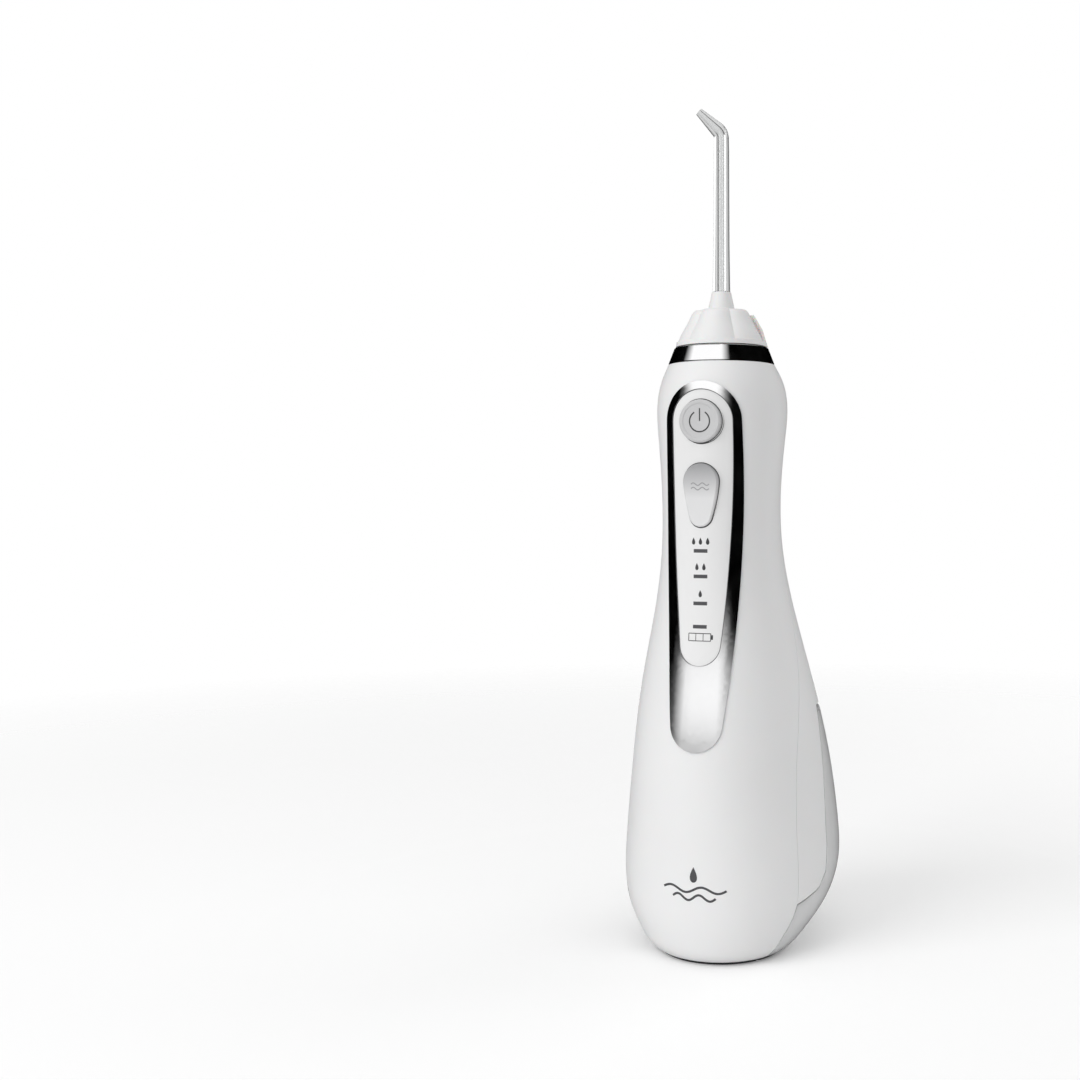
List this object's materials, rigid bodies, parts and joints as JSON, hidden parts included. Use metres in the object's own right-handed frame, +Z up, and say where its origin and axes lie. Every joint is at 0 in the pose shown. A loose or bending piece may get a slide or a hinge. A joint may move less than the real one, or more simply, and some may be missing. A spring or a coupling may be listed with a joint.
{
  "type": "water flosser",
  "caption": "Cordless handheld water flosser with a clear jet tip on a lobed rotating dial, a chrome-edged key panel and a slide-off reservoir forming its lower back.",
  "frame": {"origin": "centre of the footprint box, on the plane it stands on", "axes": "+Z up along the neck and tip, -Y towards the keys, +X to the right of someone who faces the keys"},
  "size_m": [0.0758, 0.0895, 0.2946],
  "materials": {
    "shell_white": "satin gloss",
    "shield_white": "fine matt",
    "chrome_trim": "polished",
    "panel_grey": "satin",
    "key_grey": "satin",
    "light_bar": "smoked",
    "tank_smoke": "clear smoked",
    "tip_clear": "clear",
    "foot_rubber": "matt",
    "frame_plastic": "matt",
    "gear_nylon": "matt",
    "steel": "brushed",
    "brass": "plain",
    "cell_wrap": "shrink film",
    "board_green": "solder mask",
    "dark_parts": "matt",
    "lamp_white": "clear",
    "hose_clear": "soft"
  },
  "bodies": {
    "handle": {"front_shell": "shell_white", "rear_shell": "shell_white", "inner_frame": "frame_plastic", "shell_screws": "steel", "front_trim": "chrome_trim", "control_panel": "panel_grey", "led_windows": "light_bar", "nose_foot": "foot_rubber", "top_ring": "chrome_trim", "head_seat": "frame_plastic", "motor_can": "steel", "motor_end_cap": "frame_plastic", "gear_plate": "steel", "gear_axle": "steel", "pump_cylinder": "frame_plastic", "pump_head": "frame_plastic", "inlet_valve": "foot_rubber", "outlet_valve": "foot_rubber", "inlet_spigot": "frame_plastic", "inlet_seal": "foot_rubber", "outlet_hose": "hose_clear", "battery_cell": "cell_wrap", "battery_cradle": "frame_plastic", "control_board": "board_green", "board_chip": "dark_parts", "button_switches": "dark_parts", "status_leds": "lamp_white", "charge_port": "frame_plastic", "charge_contacts": "brass", "motor_leads": "dark_parts"},
    "rotor": {"motor_shaft": "steel", "motor_pinion": "brass", "motor_armature": "steel"},
    "crank": {"drive_gear": "gear_nylon"},
    "piston": {"piston_yoke": "gear_nylon", "piston_seal": "foot_rubber"},
    "dial": {"rotation_collar": "shell_white"},
    "tip": {"jet_tip": "tip_clear", "tip_seals": "foot_rubber"},
    "release": {"eject_button": "shield_white", "eject_latch": "frame_plastic"},
    "power_key": {"power_button": "key_grey"},
    "mode_key": {"mode_button": "key_grey"},
    "reservoir": {"reservoir_tank": "tank_smoke", "reservoir_foot": "foot_rubber", "intake_straw": "tank_smoke", "door_hinge_pins": "steel"},
    "flap": {"fill_door": "tank_smoke", "door_seal": "foot_rubber"}
  },
  "joints": [
    {"name": "power_press", "type": "slide", "parent": "handle", "child": "power_key", "axis": [0, 1, 0], "range_m": [0, 0.0008], "stiffness_N_per_m": 600},
    {"name": "mode_press", "type": "slide", "parent": "handle", "child": "mode_key", "axis": [0, 1, 0], "range_m": [0, 0.0008], "stiffness_N_per_m": 600},
    {"name": "dial_turn", "type": "hinge", "parent": "handle", "child": "dial", "pos_m": [0, -0.01445, 0.2104], "axis": [0, 0, 1], "continuous": true},
    {"name": "tip_lift", "type": "slide", "parent": "dial", "child": "tip", "axis": [0, 0, 1], "range_m": [0, 0.036]},
    {"name": "release_press", "type": "slide", "parent": "handle", "child": "release", "axis": [0, -1, 0], "range_m": [0, 0.0012], "stiffness_N_per_m": 900},
    {"name": "rotor_spin", "type": "hinge", "parent": "handle", "child": "rotor", "pos_m": [0.00225, -0.02545, 0.0408], "axis": [0, 0, 1], "continuous": true},
    {"name": "crank_spin", "type": "hinge", "parent": "handle", "child": "crank", "pos_m": [-0.0115, -0.02545, 0.0408], "axis": [0, 0, 1], "continuous": true},
    {"name": "piston_stroke", "type": "slide", "parent": "handle", "child": "piston", "axis": [1, 0, 0], "range_m": [-0.0022, 0.0022]},
    {"name": "reservoir_slide", "type": "slide", "parent": "handle", "child": "reservoir", "axis": [0, 1, 0], "range_m": [0, 0.075]},
    {"name": "flap_swing", "type": "hinge", "parent": "reservoir", "child": "flap", "pos_m": [0, 0.0434, 0.053], "axis": [-1, 0, 0], "range_deg": [0, 100]}
  ],
  "couplings": [
    {"joint": "crank_spin", "follows": "rotor_spin", "ratio": -0.25}
  ]
}
